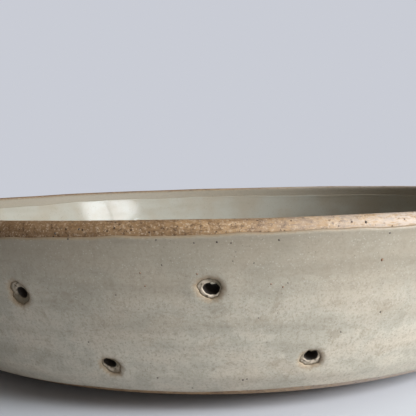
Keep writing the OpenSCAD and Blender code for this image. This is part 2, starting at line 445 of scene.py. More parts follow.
# %% Put a closed mesh together from skins and the joins between them
class Piece:
    """Points in metres, faces and named measures of one closed piece."""

    def __init__(self):
        self.points, self.faces, self.measures, self.count = [], [], [], 0

    def take(self, points, faces, **measures):
        start = self.count
        self.points.append(points)
        self.faces.extend(tuple(corner + start for corner in face) for face in faces)
        self.measures.append(measures)
        self.count += len(points)
        return start

    def join(self, one, other):
        for a, b, c, d in zip(one, np.roll(one, -1), np.roll(other, -1), other):
            self.faces.append((a, b, c, d))

    def make(self, name):
        points = np.concatenate(self.points)
        faces = [tuple(int(corner) for corner in face) for face in self.faces]
        used = np.zeros(len(points), bool)
        used[[corner for face in faces for corner in face]] = True
        new = np.cumsum(used) - 1
        mesh = bpy.data.meshes.new(name)
        mesh.from_pydata(points[used].tolist(), [], [tuple(int(new[c]) for c in face) for face in faces])
        for key in sorted({key for measures in self.measures for key in measures}):
            values = np.concatenate([measures.get(key, np.zeros(len(part)))
                                     for measures, part in zip(self.measures, self.points)])
            layer = mesh.attributes.new(key, "FLOAT", "POINT")
            layer.data.foreach_set("value", values[used].astype(np.float32))
        shape = bmesh.new()
        shape.from_mesh(mesh)
        bmesh.ops.remove_doubles(shape, verts=shape.verts, dist=1e-7)
        bmesh.ops.recalc_face_normals(shape, faces=shape.faces)
        open_edges = sum(not edge.is_manifold for edge in shape.edges)
        triangles = sum(len(face.verts) - 2 for face in shape.faces)
        volume = shape.calc_volume() / MM ** 3
        shape.to_mesh(mesh)
        shape.free()
        mesh.shade_smooth()
        thing = bpy.data.objects.new(name, mesh)
        bpy.context.scene.collection.objects.link(thing)
        print(f"{name}: {triangles} triangles, {open_edges} open edges, {volume:.0f} mm3")
        return thing


# %% [markdown]
# ## The edges of the glaze
#
# Before dipping, the potter wipes the lip and the foot, and the glaze stops there in a wavering
# line, rolled up by its own surface tension. The line is a few waves round the bowl. A coat's
# thickness depends only on the distance to its nearest edge, at a line or at a hole: it climbs
# steeply from nothing, stands a little proud as a bead, and settles to the full coat.

# %% Lines where the coats stop, and the thickness of a coat
OUT_TOP = lip_out_end + 0.45
IN_TOP = lip_in_end + 2.4
OUT_FOOT = heel_start + HEEL_R * math.radians(24.5)
ROLL_W = 0.5
BEAD_H, BEAD_AT, BEAD_W = 0.10, 0.75, 0.45
HOLE_THINNING = 0.45
SUNK = -0.05


def top_line(turn):
    return OUT_TOP + waves(turn, (2, 0.75, 2.3), (3, 0.12, 0.5), (8, 0.10, 2.1), (17, 0.12, 0.9), (31, 0.09, 2.6),
                           (53, 0.07, 1.1), (83, 0.05, 0.2))


def inner_line(turn):
    return IN_TOP + waves(turn, (4, 0.25, 1.5), (9, 0.16, 0.6), (21, 0.10, 2.9), (43, 0.07, 0.8))


def foot_line(turn):
    return OUT_FOOT + waves(turn, (3, 0.6, 2.4), (7, 0.35, 0.5), (16, 0.2, 1.3), (37, 0.1, 2.7))


def coat_height(edge):
    """Height of the glaze above the clay, from the distance to its nearest edge."""
    roll = np.sqrt(np.clip(1 - (1 - np.clip(edge / ROLL_W, 0, 1)) ** 2, 0, 1))
    bead = BEAD_H * np.exp(-((edge - BEAD_AT) / BEAD_W) ** 2)
    return roll * (COAT_T + bead) + SUNK * (1 - roll)


def edge_distance(skin, holes):
    """Distance from each point to the nearest edge of its coat, in millimetres."""
    turn, slide = skin.spots()
    which, distance, angle = near_holes(skin, holes)
    edge = np.full(len(turn), 20.0)
    for index, hole in enumerate(holes):
        at_hole = which == index
        edge[at_hole] = HOLE_THINNING * (distance[at_hole] - hole.crater(angle[at_hole]))
    if skin.walk is outside:
        return np.minimum(edge, np.minimum(slide - top_line(turn), foot_line(turn) - slide))
    return np.minimum(edge, slide - inner_line(turn))


def close_to(line, start):
    """How far a row near an edge has to move to follow its line."""
    def shift(turn, slide):
        return (line(turn) - start) * np.clip(1 - abs(slide - start) / 8, 0, 1) ** 2
    return shift


print(f"bare lip: {OUT_TOP:.1f} mm outside and {IN_TOP:.1f} mm inside, along the section")

# %% [markdown]
# ## The fired clay
#
# The clay is one closed body: a skin outside and one inside, joined at the crest of the lip and
# through every hole by a tunnel. Where a coat will lie the clay is sunk a hair, so that no two
# faces share a place. In each crater it dips to a moat and rises again to the burr round the bore.
# The foot ring is flat underneath, with three rounded notches that let water out.

# %% Rows, rings and tunnels of the clay
MOAT_DEPTH = 0.14
TUNNEL_STEPS = 4
THROAT = 0.85
NOTCH_H, NOTCH_W = 1.8, 12.0
NOTCH_TURNS = (60, 180, -60)
CLAY_CELLS = 8
COVERED = 0.09


def between(share):
    """A ring a share of the way from the bore out to the crater's edge."""
    return lambda hole, angle: (hole.bore(angle) + share * (hole.crater(angle) - hole.bore(angle)))


def beyond(gap):
    """A ring this far outside the crater's edge."""
    return lambda hole, angle: hole.crater(angle) + gap


clay_rings = [beyond(1.2), beyond(0.3)] + [between(share) for share in (0.9, 0.65, 0.38, 0.14, 0)]


def steps(start, end, step):
    """Even slides from start to end, about a step apart, without the last."""
    return np.linspace(start, end, max(2, round(abs(end - start) / step) + 1))[:-1]


def floor_rows(skin, first_r):
    """Rows over a round floor: fewer points further in, down to the hole in the middle."""
    walk = skin.walk
    for points, start_r, end_r in ((192, first_r, 36), (96, 36, 13.5), (48, 13.5, 5.2)):
        skin.lay(points, steps(walk.slide_at_radius(start_r), walk.slide_at_radius(end_r), 1.6))


def clay_out(skin, holes):
    """How far the clay stands out from its walk, and what its craters and burrs measure."""
    turn, slide = skin.spots()
    edge = edge_distance(skin, holes)
    out = ridges(skin.walk, turn, slide) - COVERED * smooth(0.3, 0.9, edge)
    which, distance, angle = near_holes(skin, holes)
    crater, burr, bore_shading = np.zeros((3, len(turn)))
    for index, hole in enumerate(holes):
        spot = which == index
        bore, rim = hole.bore(angle[spot]), hole.crater(angle[spot])
        share = (distance[spot] - bore) / (rim - bore)
        standing = hole.burr_share(angle[spot]) * np.exp(-((distance[spot] - bore - 0.3) / 0.32) ** 2)
        moat = smooth(1.0, 0.75, share) * smooth(-0.1, 0.3, share)
        out[spot] += hole.look["burr"] * standing - MOAT_DEPTH * moat - 0.25 * smooth(0.12, -0.05, share)
        crater[spot] = smooth(1.08, 0.98, share)
        # Painted shade: the clay is darkened where it turns into the bore.
        bore_shading[spot] = 0.22 * smooth(0.12, 0.0, share)
        burr[spot] = hole.look["cream"] * hole.burr_share(angle[spot]) * smooth(0.95, 0.6, share)
    wash = smooth(0.8, 3.0, slide) if skin.walk is inside else np.zeros(len(turn))
    return out, dict(crater=crater, burr=burr, bore=bore_shading, wash=wash)


def carve_notches(points):
    """Raises the foot ring's underside where water runs out through it."""
    radius = NOTCH_H / 2 + (NOTCH_W / 2) ** 2 / (2 * NOTCH_H)
    x, y, z = points.T / MM
    ring = (np.hypot(x, y) > foot_in - 2) & (np.hypot(x, y) < foot_out + 2)
    for turn in NOTCH_TURNS:
        way = math.radians(turn)
        across, along = x * math.cos(way) + y * math.sin(way), x * math.sin(way) - y * math.cos(way)
        arch = NOTCH_H - radius + np.sqrt(np.clip(radius ** 2 - across ** 2, 0, None))
        z = np.where(ring & (along > 0) & (np.abs(across) < radius), np.maximum(z, arch), z)
    return np.stack([x, y, z], 1) * MM


foot_start = outside.s[np.argmin(np.abs(outside.r - foot_out - 1.2))]
well_start = outside.slide_at_radius(foot_in - 1.2)
clay_outer, clay_inner = Skin(outside), Skin(inside)
clay_outer.lay(720, steps(0, 6.2, 0.42))
clay_outer.lay(480, steps(6.8, heel_start + 6, 1.45))
clay_outer.lay(480, steps(heel_start + 6, foot_start, 1.8))
clay_outer.lay(480, steps(foot_start, well_start, 0.8))
floor_rows(clay_outer, foot_in - 1.6)
clay_inner.lay(720, steps(0, 7.4, 0.52))
clay_inner.lay(480, steps(7.8, inside.slide_at_radius(corner_x), 1.45))
floor_rows(clay_inner, corner_x - 1.2)

outer_holes, inner_holes = wall_holes + floor_holes, inner_mouths + floor_holes
mouths = [(clay_outer.pierce(outer, CLAY_CELLS, clay_rings), clay_inner.pierce(inner, CLAY_CELLS, clay_rings))
          for outer, inner in zip(outer_holes, inner_holes)]
for skin in (clay_outer, clay_inner):
    middle = [ring(middle_hole, np.radians(np.arange(48) * 7.5)) for ring in clay_rings]
    for radius in middle:
        skin.rows.append(skin.add(np.arange(48) * 7.5 - 180, skin.walk.slide_at_radius(radius)))
    skin.weave()
mouths.append((clay_outer.rows[-1], clay_inner.rows[-1]))

clay = Piece()
starts = []
for skin, holes in ((clay_outer, outer_holes), (clay_inner, inner_holes)):
    turn, slide = skin.spots()
    out, measures = clay_out(skin, holes + [middle_hole])
    r, z, nr, nz = skin.walk.at(slide)
    placed = wander(r + out * nr, z + out * nz, turn)
    if skin is clay_outer:
        placed = carve_notches(placed)
    starts.append(clay.take(placed, skin.faces, **measures))
points = np.concatenate(clay.points)
for hole, (outer_ring, inner_ring) in zip(outer_holes + [middle_hole], mouths):
    near, far = outer_ring + starts[0], inner_ring + starts[1]
    angle = np.radians(-135 + 360 * np.arange(len(near)) / len(near))
    middle = (points[near].mean(0), points[far].mean(0))
    last = near
    for step in range(1, TUNNEL_STEPS):
        depth = step / TUNNEL_STEPS
        centre = middle[0] * (1 - depth) + middle[1] * depth
        ring = points[near] * (1 - depth) + points[far] * depth
        rounder = (THROAT * hole.bore(angle, 0.9) / hole.bore(angle))[:, None]
        throat = 1 + (rounder - 1) * math.sin(math.pi * depth)
        ring = centre + (ring - centre) * throat
        # Painted shade: the tunnel wall is darkened, most at its middle depth.
        deep = np.full(len(ring), 0.22 + 0.78 * math.sin(math.pi * depth))
        start = clay.take(ring, [], bore=deep, crater=np.ones(len(ring)))
        clay.join(last, np.arange(start, start + len(ring)))
        last = np.arange(start, start + len(ring))
    clay.join(last, far)
clay_body = clay.make("clay_body")

# %% [markdown]
# ## The two coats
#
# Each coat is a closed shell. Its front is a fine skin, crowded with rows where the edge rolls
# over, and its back is a coarser skin that lies a hair inside the clay. The outer coat stops under
# the lip and above the foot, and the inner one runs from under the lip over the whole floor.

# %% Lay the coats
EDGE_GAPS = (0, 0.05, 0.13, 0.24, 0.4, 0.62, 0.95, 1.4, 2.0)
coat_rings = [beyond(gap) for gap in (2.2, 1.5, 1.0, 0.65, 0.4, 0.22, 0.09, 0)]
back_rings = [beyond(1.0), beyond(0)]


def both(*shifts):
    return lambda turn, slide: sum(shift(turn, slide) for shift in shifts)


def coat(name, walk, holes, front_rows, back_rows, cells):
    """A closed shell of glaze: lays both skins, pierces them, and joins them at every edge."""
    piece, loops = Piece(), []
    for lay_rows, rings, is_front in ((front_rows, coat_rings, True), (back_rows, back_rings, False)):
        skin = Skin(walk)
        lay_rows(skin)
        ends = [skin.pierce(hole, cells, rings) for hole in holes]
        if walk is inside:
            for ring in rings:
                radius = ring(middle_hole, np.radians(np.arange(48) * 7.5))
                skin.rows.append(skin.add(np.arange(48) * 7.5 - 180, walk.slide_at_radius(radius)))
        skin.weave()
        turn, slide = skin.spots()
        edge = edge_distance(skin, holes + ([middle_hole] if walk is inside else []))
        out = ridges(walk, turn, slide) + (coat_height(edge) if is_front else SUNK)
        r, z, nr, nz = walk.at(slide)
        start = piece.take(wander(r + out * nr, z + out * nz, turn), skin.faces, edge=edge)
        loops.append([ring + start for ring in ends + [skin.rows[0], skin.rows[-1]]])
    for front, back in zip(*loops):
        piece.join(front, back)
    return piece.make(name)


def outer_front(skin):
    shift = both(close_to(top_line, OUT_TOP), close_to(foot_line, OUT_FOOT))
    gaps = np.array(EDGE_GAPS)
    skin.lay(720, OUT_TOP + gaps, shift)
    skin.lay(720, steps(OUT_TOP + 2.8, OUT_FOOT - 2.0, 1.0), shift)
    skin.lay(720, OUT_FOOT - gaps[::-1], shift)


def outer_back(skin):
    shift = both(close_to(top_line, OUT_TOP), close_to(foot_line, OUT_FOOT))
    skin.lay(720, [OUT_TOP, OUT_TOP + 1.5, OUT_TOP + 4], shift)
    skin.lay(720, steps(OUT_TOP + 6, OUT_TOP + 22, 1.0), shift)
    skin.lay(720, steps(OUT_TOP + 22, OUT_TOP + 26, 2.0), shift)
    skin.lay(720, steps(OUT_TOP + 26, heel_start + 4, 1.0), shift)
    skin.lay(720, [heel_start + 5, OUT_FOOT - 1.5, OUT_FOOT], shift)


def inner_front(skin):
    shift = close_to(inner_line, IN_TOP)
    skin.lay(480, IN_TOP + np.array(EDGE_GAPS), shift)
    skin.lay(480, steps(IN_TOP + 3.0, inside.slide_at_radius(corner_x - 1), 1.5), shift)
    skin.lay(480, steps(inside.slide_at_radius(corner_x - 1), inside.slide_at_radius(64), 1.6))
    floor_rows(skin, 63)


def inner_back(skin):
    shift = close_to(inner_line, IN_TOP)
    skin.lay(480, [IN_TOP, IN_TOP + 2.0], shift)
    skin.lay(480, steps(IN_TOP + 3.4, inside.slide_at_radius(corner_x + 8), 1.5), shift)
    skin.lay(480, steps(inside.slide_at_radius(corner_x + 8), inside.slide_at_radius(64), 5))
    floor_rows(skin, 63)


outer_coat = coat("outer_coat", outside, wall_holes, outer_front, outer_back, 12)
inner_coat = coat("inner_coat", inside, inner_holes, inner_front, inner_back, 8)

# %% [markdown]
# ## The camera
#
# The photograph was taken from just above the lip and close to the near wall, with a slightly
# long lens. The camera's pan, tilt and roll come from fitting the rim and the heel to it.

# %% Place the camera
IMAGE_SIDE = 416
FOCAL_PX = 650.0
CAMERA_AT = Vector((0.0, -0.2607, 0.06081))
PAN, PITCH, ROLL = (math.radians(angle) for angle in (-1.11, 3.34, -1.50))

level_right = Vector((math.cos(PAN), -math.sin(PAN), 0))
ahead = Vector((math.cos(PITCH) * math.sin(PAN), math.cos(PITCH) * math.cos(PAN), -math.sin(PITCH)))
level_up = Vector((math.sin(PITCH) * math.sin(PAN), math.sin(PITCH) * math.cos(PAN), math.cos(PITCH)))
right = level_right * math.cos(ROLL) + level_up * math.sin(ROLL)
up = level_up * math.cos(ROLL) - level_right * math.sin(ROLL)

camera = bpy.data.objects.new("camera", bpy.data.cameras.new("camera"))
camera.data.sensor_width = 36.0
camera.data.lens = FOCAL_PX / IMAGE_SIDE * camera.data.sensor_width
camera.data.clip_start = 0.01
camera.matrix_world = Matrix.Translation(CAMERA_AT) @ Matrix((right, up, -ahead)).transposed().to_4x4()
bpy.context.scene.collection.objects.link(camera)
bpy.context.scene.camera = camera
print(f"lens {camera.data.lens:.1f} mm, {CAMERA_AT.z / MM:.0f} mm above the table")

# %% [markdown]
# ## Iron specks
#
# Grains of iron in the clay melt in the fire and come up through the glaze as dark dots. They are
# small lenses of their own here, because a dot of a third of a millimetre would need a very fine
# texture. Those that the photograph shows are found by sending a ray from the camera through their
# pixel to the surface, so each sits on what carries it. The rest are scattered with a fixed seed.

# %% Grow the specks on the glaze and the lip
SEEN_DARK = ((55, 233.5, 1.3), (79, 229, 1.1), (68, 239, 1.0), (156, 240, 0.8), (88.6, 342, 0.9),
             (157.6, 378, 1.2), (192.6, 388, 1.1), (76, 297, 0.7), (116, 295, 0.8), (111, 308, 0.6),
             (161.6, 265, 0.8), (236, 252, 0.5), (233, 261, 0.6), (254, 263, 0.7), (288, 283, 0.8),
             (258.5, 318, 0.8), (278, 313, 0.6), (267, 342, 0.6), (311, 330, 0.5), (390, 233, 1.0),
             (380.5, 312, 1.0), (341, 332, 0.8), (366, 222, 1.4), (243, 380, 1.2), (247, 379, 1.0),
             (217, 242, 1.1), (231, 243, 0.9), (279, 240, 1.1), (194, 243, 0.8))
SEEN_RUST = ((140, 273, 1.0), (271, 284, 1.0), (283, 287, 0.9), (382, 260, 1.6), (145, 286, 0.8),
             (197, 274, 0.9), (344, 380, 0.8))
PX_TO_MM = 0.235
SCATTERED = 420
SPECK_SIDES = 8
bpy.context.view_layer.update()


def hit(thing, start, way):
    """Where a ray meets a piece, and which way that surface faces, or None."""
    found, place, facing, _ = thing.ray_cast(start, way)
    return (place, facing) if found else None


def lens(piece, place, facing, radius, rng, tone):
    """A flat, ragged lens of melted iron, half sunk in the surface."""
    side = facing.orthogonal().normalized()
    other = facing.cross(side)
    ring = []
    for k in range(SPECK_SIDES):
        angle = math.tau * k / SPECK_SIDES
        reach = radius * (1 + rng.uniform(-0.25, 0.25))
        ring.append(place + (side * math.cos(angle) + other * math.sin(angle)) * reach * MM)
    points = ring + [place + facing * 0.035 * MM, place - facing * 0.12 * MM]
    crown, root = SPECK_SIDES, SPECK_SIDES + 1
    faces = [(k, (k + 1) % SPECK_SIDES, crown) for k in range(SPECK_SIDES)]
    faces += [((k + 1) % SPECK_SIDES, k, root) for k in range(SPECK_SIDES)]
    piece.take(np.array([tuple(point) for point in points]), faces, tone=np.full(len(points), tone))


rng = np.random.default_rng(11)
specks = Piece()
for seen, tone in ((SEEN_DARK, 0.0), (SEEN_RUST, 1.0)):
    for x, y, size in seen:
        way = ahead + right * ((x - IMAGE_SIDE / 2) / FOCAL_PX) + up * ((IMAGE_SIDE / 2 - y) / FOCAL_PX)
        hits = [found for thing in (clay_body, outer_coat) if (found := hit(thing, CAMERA_AT, way))]
        if hits:
            place, facing = min(hits, key=lambda found: (found[0] - CAMERA_AT).length)
            lens(specks, place, facing, size * PX_TO_MM, rng, tone)
for _ in range(SCATTERED):
    turn, height = math.radians(rng.uniform(0, 360)), rng.uniform(0.008, 0.049)
    inward = rng.random() < 0.5
    way = Vector((math.sin(turn), -math.cos(turn), 0)) * (1 if inward else -1)
    start = Vector((0, 0, height)) if inward else Vector((-way.x, -way.y, height / 0.3)) * 0.3
    size, tone = 0.06 + 0.16 * rng.random() ** 3, float(rng.random() < 0.25)
    hits = [found for thing in (clay_body, outer_coat, inner_coat) if (found := hit(thing, start, way))]
    facing_front = abs(math.degrees(turn) - 180) > 145 and not inward
    if hits and not (facing_front and size > 0.12):
        place, facing = min(hits, key=lambda found: (found[0] - start).length)
        lens(specks, place, facing, size, rng, tone)
iron_specks = specks.make("iron_specks")

# %% [markdown]
# ## Writing a finish
#
# A finish is a tree of shader nodes, and a tree is easier to read as sums and products. A Wire
# wraps one socket, so that `0.4 + 0.2 * cloud` adds the Math nodes by itself. Colours are mixed
# with Mix nodes, and every other node comes from one method that takes its kind, its settings and
# what goes into its sockets.

# %% Wires and finishes
class Wire:
    """One output of a shader node, used like a number."""

    def __init__(self, finish, socket):
        self.finish, self.socket = finish, socket

    def _math(self, operation, a, b):
        return self.finish.node("ShaderNodeMath", {"operation": operation}, {0: a, 1: b})

    def __add__(self, other):
        return self._math("ADD", self, other)

    def __radd__(self, other):
        return self._math("ADD", other, self)

    def __sub__(self, other):
        return self._math("SUBTRACT", self, other)

    def __rsub__(self, other):
        return self._math("SUBTRACT", other, self)

    def __mul__(self, other):
        return self._math("MULTIPLY", self, other)

    def __rmul__(self, other):
        return self._math("MULTIPLY", other, self)

    def __truediv__(self, other):
        return self._math("DIVIDE", self, other)

    def __pow__(self, other):
        return self._math("POWER", self, other)


class Finish:
    """A material as it is written: one shader at its end, and wires that lead to it."""

    def __init__(self, name):
        self.material = bpy.data.materials.new(name)
        self.material.use_nodes = True
        self.tree = self.material.node_tree
        self.shader = self.tree.nodes["Principled BSDF"]
        place = self.node("ShaderNodeTexCoord", out="Object")
        self.place = self.node("ShaderNodeVectorMath", {"operation": "SCALE"}, {0: place, "Scale": 1 / MM})

    def node(self, kind, settings=None, sockets=None, out=0):
        """A node of this kind: settings first, then its sockets, then the output that is wanted."""
        node = self.tree.nodes.new(kind)
        for key, value in (settings or {}).items():
            if key == "stops":
                ramp = node.color_ramp
                while len(ramp.elements) < len(value):
                    ramp.elements.new(1.0)
                for element, (position, colour) in zip(ramp.elements, value):
                    element.position, element.color = position, (*colour, 1.0)
            else:
                setattr(node, key, value)
        for key, value in (sockets or {}).items():
            self.feed(node.inputs[key], value)
        return Wire(self, node.outputs[out])

    def feed(self, socket, value):
        if isinstance(value, Wire):
            self.tree.links.new(value.socket, socket)
        elif socket.type == "RGBA" and len(value) == 3:
            socket.default_value = (*value, 1.0)
        else:
            socket.default_value = value

    def stretched(self, x, y, z):
        """The place on the object in millimetres, scaled along each axis."""
        return self.node("ShaderNodeVectorMath", {"operation": "MULTIPLY"}, {0: self.place, 1: (x, y, z)})

    def cloud(self, size, detail=2.0, rough=0.5, where=None, twist=0.0):
        """Noise from 0 to 1 with clouds about this many millimetres across."""
        return self.node("ShaderNodeTexNoise", {"noise_dimensions": "3D"}, {
            "Vector": where or self.place, "Scale": 1 / size, "Detail": detail, "Roughness": rough,
            "Distortion": twist})

    def cells(self, size, where=None, out="Distance"):
        """Distance to the nearest of scattered points, in sizes."""
        return self.node("ShaderNodeTexVoronoi", {"feature": "F1"},
                         {"Vector": where or self.place, "Scale": 1 / size, "Randomness": 1.0}, out)

    def step(self, value, low, high):
        """0 below low and 1 above high. With low above high it falls instead."""
        return self.node("ShaderNodeMapRange", {"interpolation_type": "SMOOTHSTEP"},
                         {"Value": value, "From Min": low, "From Max": high})

    def measure(self, name):
        """A measure kept on the mesh's points."""
        return self.node("ShaderNodeAttribute", {"attribute_name": name}, out="Fac")

    def mix(self, share, one, other, blend="MIX"):
        """One colour where share is 0, and the other where it is 1."""
        return self.node("ShaderNodeMix", {"data_type": "RGBA", "blend_type": blend},
                         {0: share, 6: one, 7: other}, out=2)

    def relief(self, height, depth, under=None):
        """Bumps of this many millimetres, laid over others if they are given."""
        sockets = {"Height": height, "Distance": depth * MM, "Strength": 1.0}
        if under:
            sockets["Normal"] = under
        return self.node("ShaderNodeBump", {}, sockets)

    def set(self, **sockets):
        """Values and wires for the shader: underscores stand for the spaces in its socket names."""
        for key, value in sockets.items():
            self.feed(self.shader.inputs[key.replace("_", " ")], value)
        return self.material


# %% [markdown]
# ## Finish of the bare clay
#
# The bare clay is sandy and toasted golden by the flame, paler where the grit shows and darker
# where iron gathered. Across the bowl it is painted darker on the left, away from the window, as
# painted shade, and paler on the right, partly a thin pale film and partly painted light. In the
# craters round the holes a thin film of glaze stayed: olive brown in the moat and cream on the burr.
# The bores are painted dark inside, as painted shade. All of this is colour and grain too fine for
# the mesh, so it is written as noise at its real size.

# %% The bare clay
# The darker toast colour also serves as the painted shade on the bowl's left side.
TOAST, TOAST_DARK_AND_SHADE, GRIT = (0.40, 0.255, 0.13), (0.18, 0.10, 0.045), (0.62, 0.50, 0.37)
TOAST_BLACK = (0.085, 0.045, 0.022)
# The last of these colours is painted shade for the inside of the bores.
IRON, OLIVE, CREAM, BORE_SHADE = (0.05, 0.025, 0.015), (0.115, 0.093, 0.057), (0.66, 0.56, 0.44), (0.016, 0.011, 0.007)
# The pale colour is partly a thin film of glaze and partly painted light on the lit right side.
WASH, PALE_FILM_AND_LIGHT = (0.26, 0.235, 0.185), (0.58, 0.50, 0.43)


def bare_clay():
    clay = Finish("toasted_stoneware")
    flame = clay.cloud(9, 4.0, 0.65, clay.stretched(1, 1, 0.8))
    # Painted shade: the clay is darkened on the left, the side away from the window, by its place across the bowl.
    window_side_x = clay.node("ShaderNodeSeparateXYZ", {}, {0: clay.place}, out="X")
    left_shade = clay.step(window_side_x + 30 * flame, 30, -40)
    sand = clay.cloud(0.8, 6.0, 0.85)
    streak = clay.cloud(1.1, 4.0, 0.7, clay.stretched(0.35, 0.35, 1.6))
    grit = clay.step(clay.cells(0.62), 0.34, 0.1)
    iron = clay.step(clay.cells(1.9), 0.16, 0.08)
    colour = clay.mix(0.7 * clay.step(flame, 0.4, 0.62), TOAST, TOAST_DARK_AND_SHADE)
    colour = clay.mix(0.8 * left_shade, colour, TOAST_DARK_AND_SHADE)
    # Partly a thin pale film and partly painted light: the clay is paler on the right, the side that faces the
    # window.
    paler = clay.step(window_side_x + 30 * flame, 10, 70) * clay.step(streak, 0.3, 0.55)
    colour = clay.mix(0.6 * clay.step(sand, 0.5, 0.66), colour, GRIT)
    colour = clay.mix(0.5 * grit, colour, GRIT)
    colour = clay.mix(0.8 * clay.step(streak, 0.5, 0.62), colour, TOAST_DARK_AND_SHADE)
    colour = clay.mix(0.85 * clay.step(clay.cloud(1.2, 5.0, 0.8), 0.53, 0.62), colour, TOAST_BLACK)
    colour = clay.mix(0.75 * paler, colour, PALE_FILM_AND_LIGHT)
    colour = clay.mix(iron, colour, IRON)
    colour = clay.mix(clay.measure("wash") * (0.75 + 0.25 * sand), colour, WASH)
    film = clay.step(clay.cloud(1.1, 3.0, 0.6), 0.3, 0.6)
    colour = clay.mix(clay.measure("crater") * (0.7 + 0.3 * film), colour, OLIVE)
    colour = clay.mix(clay.measure("burr") * clay.step(clay.cloud(0.8, 2.0), 0.3, 0.55), colour, CREAM)
    # Painted shade inside the bores.
    colour = clay.mix(clay.step(clay.measure("bore"), 0.0, 0.3), colour, BORE_SHADE)
    bumps = clay.relief(clay.cloud(2.4, 3.0, 0.55), 0.10)
    bumps = clay.relief(sand + 0.6 * grit, 0.035, bumps)
    return clay.set(Base_Color=colour, Roughness=0.5 + 0.3 * sand, Normal=bumps, Specular_IOR_Level=0.35)


# %% [markdown]
# ## Finish of the outer glaze
#
# The outer coat is satin and nearly opaque. It is never one grey: faint bands follow the potter's
# fingers, clouds of warmer and cooler tone lie over them, and fine pepper shows through. Near an
# edge the coat thins and the clay under it warms the colour, so the distance to the edge that the
# mesh keeps is used once more here. Painted shade darkens the coat towards the top, under the lip,
# and towards the heel.

# %% The outer glaze
STONE, STONE_WARM, STONE_COOL = (0.53, 0.485, 0.395), (0.51, 0.435, 0.335), (0.485, 0.465, 0.385)
STONE_BROWN = (0.26, 0.20, 0.13)
# The dark stone tone is also painted shade under the lip, and the edge tan is also painted shade low on the heel.
STONE_DARK, PEPPER, EDGE_TAN_AND_SHADE = (0.255, 0.215, 0.155), (0.10, 0.07, 0.045), (0.27, 0.19, 0.11)
MILKY = (0.60, 0.57, 0.49)


def satin_glaze():
    glaze = Finish("satin_glaze")
    bands = glaze.cloud(6.0, 4.0, 0.6, glaze.stretched(0.12, 0.12, 1.0))
    clouds = glaze.cloud(15, 4.0, 0.6, glaze.stretched(1, 1, 1.5), twist=0.5)
    drips = glaze.cloud(1.3, 2.0, 0.5, glaze.stretched(1, 1, 0.14))
    mottle = glaze.cloud(0.65, 4.0, 0.8)
    flecks = glaze.step(glaze.cells(0.7), 0.34, 0.06) * glaze.step(glaze.cloud(4, 4.0, 0.7), 0.4, 0.6)
    smudge = glaze.cloud(7, 6.0, 0.72, glaze.stretched(1, 1, 1.3), twist=0.3)
    height = glaze.node("ShaderNodeSeparateXYZ", {}, {0: glaze.place}, out="Z")
    colour = glaze.mix(glaze.step(clouds, 0.35, 0.65), STONE_WARM, STONE_COOL)
    colour = glaze.mix(0.45, colour, STONE)
    colour = glaze.mix(0.26 * glaze.step(bands, 0.46, 0.66), colour, STONE_DARK)
    colour = glaze.mix(0.4 * glaze.step(smudge, 0.54, 0.68), colour, STONE_BROWN)
    colour = glaze.mix(0.3 * glaze.step(clouds, 0.5, 0.64), colour, STONE_DARK)
    # Painted shade: the coat is darker towards the top, under the lip.
    colour = glaze.mix(0.8 * glaze.step(height + 14 * bands, 26, 56), colour, STONE_DARK)
    colour = glaze.mix(0.16 * glaze.step(drips, 0.48, 0.7), colour, STONE_DARK)
    colour = glaze.mix(0.5 * glaze.step(mottle, 0.47, 0.65), colour, STONE_DARK)
    colour = glaze.mix(0.38 * flecks, colour, MILKY)
    pepper = glaze.step(glaze.cells(1.1), 0.15, 0.06) * glaze.step(glaze.cloud(7, 2.0), 0.42, 0.6)
    colour = glaze.mix(0.55 * pepper, colour, PEPPER)
    ragged = glaze.measure("edge") + 1.1 * glaze.cloud(0.8, 4.0, 0.7) - 0.55
    colour = glaze.mix(0.75 * glaze.step(ragged, 0.7, 0.0), colour, EDGE_TAN_AND_SHADE)
    # Painted shade: the coat darkens towards the heel, low on the wall.
    low = glaze.step(height + 5 * smudge, 11, 5) * 0.5
    colour = glaze.mix(low, colour, EDGE_TAN_AND_SHADE)
    pits = glaze.step(glaze.cells(0.8), 0.22, 0.08)
    bumps = glaze.relief(bands, 0.14)
    bumps = glaze.relief(glaze.cloud(2.2, 2.0, 0.5), 0.06, bumps)
    bumps = glaze.relief(mottle - 0.5 * pits, 0.03, bumps)
    return glaze.set(Base_Color=colour, Roughness=0.42 + 0.16 * mottle, Normal=bumps,
                     Specular_IOR_Level=0.5)


# %% [markdown]
# ## Finish of the inner glaze
#
# Inside, the same glaze melted fully and shines. Its colour is a little paler and quieter. Sharp
# reflections come from a low roughness and a very low, slow relief, because a fired surface is
# never quite flat.

# %% The inner glaze
MILK, MILK_WARM, MILK_DARK = (0.35, 0.335, 0.285), (0.33, 0.295, 0.235), (0.235, 0.21, 0.155)


def glossy_glaze():
    glaze = Finish("glossy_glaze")
    bands = glaze.cloud(7.0, 2.0, 0.5, glaze.stretched(0.15, 0.15, 1.0))
    clouds = glaze.cloud(18, 3.0, 0.55)
    colour = glaze.mix(glaze.step(clouds, 0.35, 0.65), MILK, MILK_WARM)
    colour = glaze.mix(0.25 * glaze.step(bands, 0.45, 0.7), colour, MILK_DARK)
    colour = glaze.mix(0.3 * glaze.step(glaze.cloud(0.9, 4.0, 0.65), 0.52, 0.72), colour, MILK_DARK)
    pepper = glaze.step(glaze.cells(1.8), 0.11, 0.05)
    colour = glaze.mix(0.5 * pepper, colour, PEPPER)
    ragged = glaze.measure("edge") + 0.9 * glaze.cloud(0.8, 3.0, 0.7) - 0.45
    colour = glaze.mix(0.4 * glaze.step(ragged, 0.55, 0.0), colour, EDGE_TAN_AND_SHADE)
    bumps = glaze.relief(glaze.cloud(9, 2.0, 0.5), 0.05)
    bumps = glaze.relief(glaze.cloud(1.4, 2.0, 0.5), 0.006, bumps)
    return glaze.set(Base_Color=colour, Roughness=0.09 + 0.08 * clouds, Normal=bumps,
                     Specular_IOR_Level=0.14)


